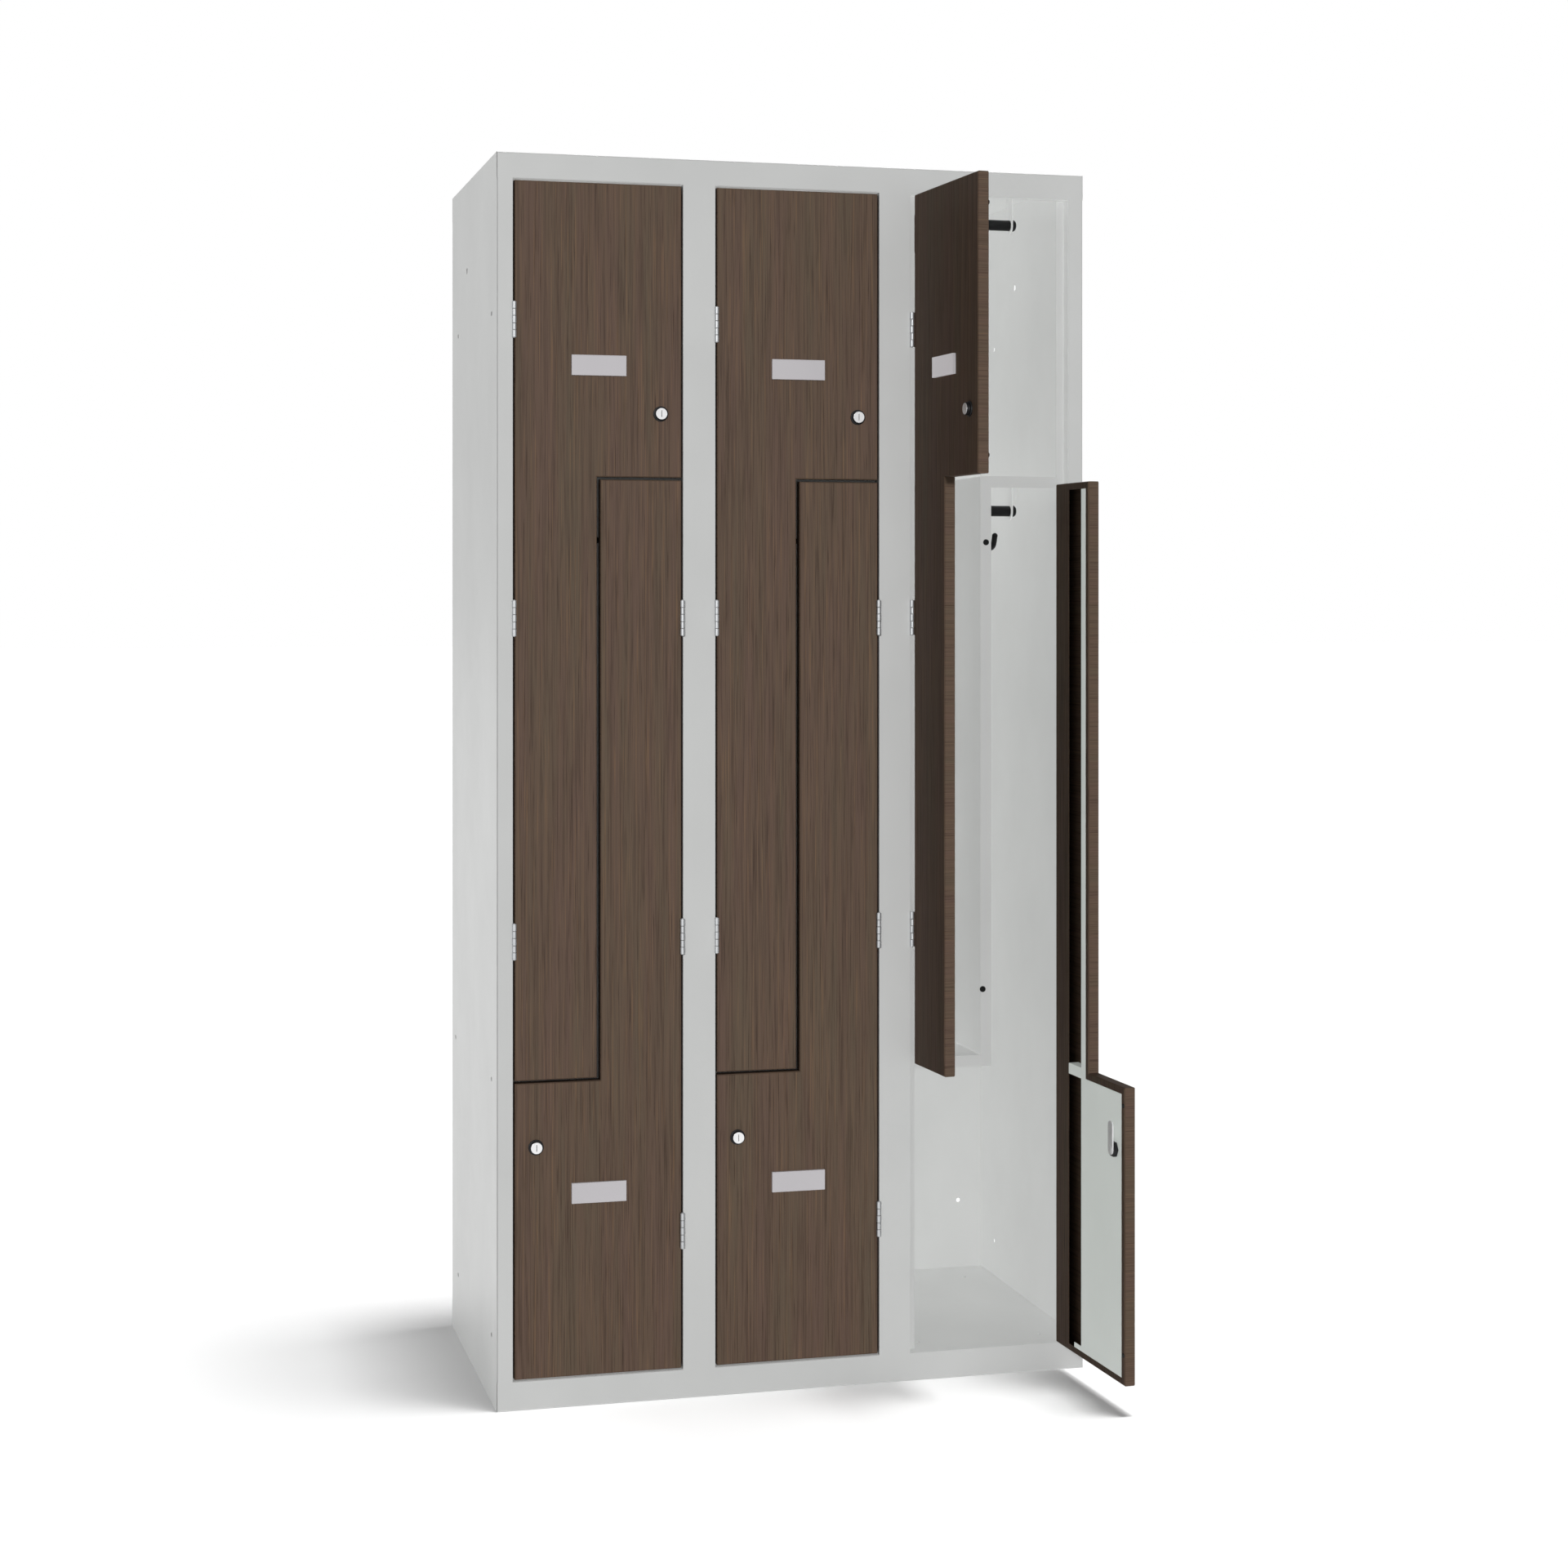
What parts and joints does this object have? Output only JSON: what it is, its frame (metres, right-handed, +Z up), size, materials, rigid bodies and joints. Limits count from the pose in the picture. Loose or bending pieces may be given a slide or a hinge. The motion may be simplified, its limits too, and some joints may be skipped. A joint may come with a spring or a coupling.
{
  "type": "z locker",
  "caption": "Steel changing-room locker with columns of interlocking L-shaped wood-decor doors, Z dividers, coat rails and cam locks; the right-hand column stands open.",
  "frame": {"origin": "on the floor, in the middle of the foot under the front rail", "axes": "+Z up, +Y from the front to the back, +X to the right as seen from the front"},
  "size_m": [0.9, 0.7317, 1.82],
  "materials": {
    "grey_steel": "satin light grey powder coat",
    "wood_decor": "matte dark brown wood-grain decor film on folded steel",
    "zinc": "bright zinc plating",
    "black_plastic": "satin black moulding",
    "bright_metal": "polished nickel"
  },
  "bodies": {
    "carcass": {"left_side_panel": "grey_steel", "right_side_panel": "grey_steel", "back_panel": "grey_steel", "top_panel": "grey_steel", "base_panel": "grey_steel", "partition_1_left": "grey_steel", "partition_1_right": "grey_steel", "partition_2_left": "grey_steel", "partition_2_right": "grey_steel", "z_divider_1": "grey_steel", "z_divider_2": "grey_steel", "z_divider_3": "grey_steel", "coat_rail_1_upper": "black_plastic", "coat_rail_1_lower": "black_plastic", "coat_rail_2_upper": "black_plastic", "coat_rail_2_lower": "black_plastic", "coat_rail_3_upper": "black_plastic", "coat_rail_3_lower": "black_plastic", "hinge_1_upper_top": "zinc", "hinge_1_upper_upper": "zinc", "hinge_1_upper_lower": "zinc", "hinge_1_lower_upper": "zinc", "hinge_1_lower_lower": "zinc", "hinge_1_lower_bottom": "zinc", "hinge_2_upper_top": "zinc", "hinge_2_upper_upper": "zinc", "hinge_2_upper_lower": "zinc", "hinge_2_lower_upper": "zinc", "hinge_2_lower_lower": "zinc", "hinge_2_lower_bottom": "zinc", "hinge_3_upper_top": "zinc", "hinge_3_upper_upper": "zinc", "hinge_3_upper_lower": "zinc", "hinge_3_lower_upper": "zinc", "hinge_3_lower_lower": "zinc", "hinge_3_lower_bottom": "zinc"},
    "door_1_upper": {"door_skin_1_upper": "wood_decor", "door_stiffener_1_upper": "grey_steel", "lock_housing_1_upper": "black_plastic"},
    "lock_1_upper": {"lock_plug_1_upper": "bright_metal"},
    "door_1_lower": {"door_skin_1_lower": "wood_decor", "door_stiffener_1_lower": "grey_steel", "lock_housing_1_lower": "black_plastic"},
    "lock_1_lower": {"lock_plug_1_lower": "bright_metal"},
    "door_2_upper": {"door_skin_2_upper": "wood_decor", "door_stiffener_2_upper": "grey_steel", "lock_housing_2_upper": "black_plastic"},
    "lock_2_upper": {"lock_plug_2_upper": "bright_metal"},
    "door_2_lower": {"door_skin_2_lower": "wood_decor", "door_stiffener_2_lower": "grey_steel", "lock_housing_2_lower": "black_plastic"},
    "lock_2_lower": {"lock_plug_2_lower": "bright_metal"},
    "door_3_upper": {"door_skin_3_upper": "wood_decor", "door_stiffener_3_upper": "grey_steel", "lock_housing_3_upper": "black_plastic"},
    "lock_3_upper": {"lock_plug_3_upper": "bright_metal"},
    "door_3_lower": {"door_skin_3_lower": "wood_decor", "door_stiffener_3_lower": "grey_steel", "lock_housing_3_lower": "black_plastic"},
    "lock_3_lower": {"lock_plug_3_lower": "bright_metal"}
  },
  "joints": [
    {"name": "door_1_upper_swing", "type": "hinge", "parent": "carcass", "child": "door_1_upper", "pos_m": [-0.4249, -0.0134, 0.91225], "axis": [0, 0, -1], "range_deg": [0, 100]},
    {"name": "lock_1_upper_turn", "type": "hinge", "parent": "door_1_upper", "child": "lock_1_upper", "pos_m": [-0.2082, -0.01, 1.445], "axis": [0, -1, 0], "range_deg": [0, 90]},
    {"name": "door_1_lower_swing", "type": "hinge", "parent": "carcass", "child": "door_1_lower", "pos_m": [-0.1761, -0.0134, 0.91225], "axis": [0, 0, 1], "range_deg": [0, 100]},
    {"name": "lock_1_lower_turn", "type": "hinge", "parent": "door_1_lower", "child": "lock_1_lower", "pos_m": [-0.3928, -0.01, 0.3795], "axis": [0, -1, 0], "range_deg": [0, 90]},
    {"name": "door_2_upper_swing", "type": "hinge", "parent": "carcass", "child": "door_2_upper", "pos_m": [-0.1244, -0.0134, 0.91225], "axis": [0, 0, -1], "range_deg": [0, 100]},
    {"name": "lock_2_upper_turn", "type": "hinge", "parent": "door_2_upper", "child": "lock_2_upper", "pos_m": [0.0923, -0.01, 1.445], "axis": [0, -1, 0], "range_deg": [0, 90]},
    {"name": "door_2_lower_swing", "type": "hinge", "parent": "carcass", "child": "door_2_lower", "pos_m": [0.1244, -0.0134, 0.91225], "axis": [0, 0, 1], "range_deg": [0, 100]},
    {"name": "lock_2_lower_turn", "type": "hinge", "parent": "door_2_lower", "child": "lock_2_lower", "pos_m": [-0.0923, -0.01, 0.3795], "axis": [0, -1, 0], "range_deg": [0, 90]},
    {"name": "door_3_upper_swing", "type": "hinge", "parent": "carcass", "child": "door_3_upper", "pos_m": [0.1761, -0.0134, 0.91225], "axis": [0, 0, -1], "range_deg": [-86, 14]},
    {"name": "lock_3_upper_turn", "type": "hinge", "parent": "door_3_upper", "child": "lock_3_upper", "pos_m": [0.19461, -0.22934, 1.445], "axis": [-0.9976, -0.0698, 0], "range_deg": [0, 90]},
    {"name": "door_3_lower_swing", "type": "hinge", "parent": "carcass", "child": "door_3_lower", "pos_m": [0.4249, -0.0134, 0.91225], "axis": [0, 0, 1], "range_deg": [-93, 7]},
    {"name": "lock_3_lower_turn", "type": "hinge", "parent": "door_3_lower", "child": "lock_3_lower", "pos_m": [0.43285, -0.22998, 0.3795], "axis": [0.9986, 0.0523, 0], "range_deg": [0, 90]}
  ]
}
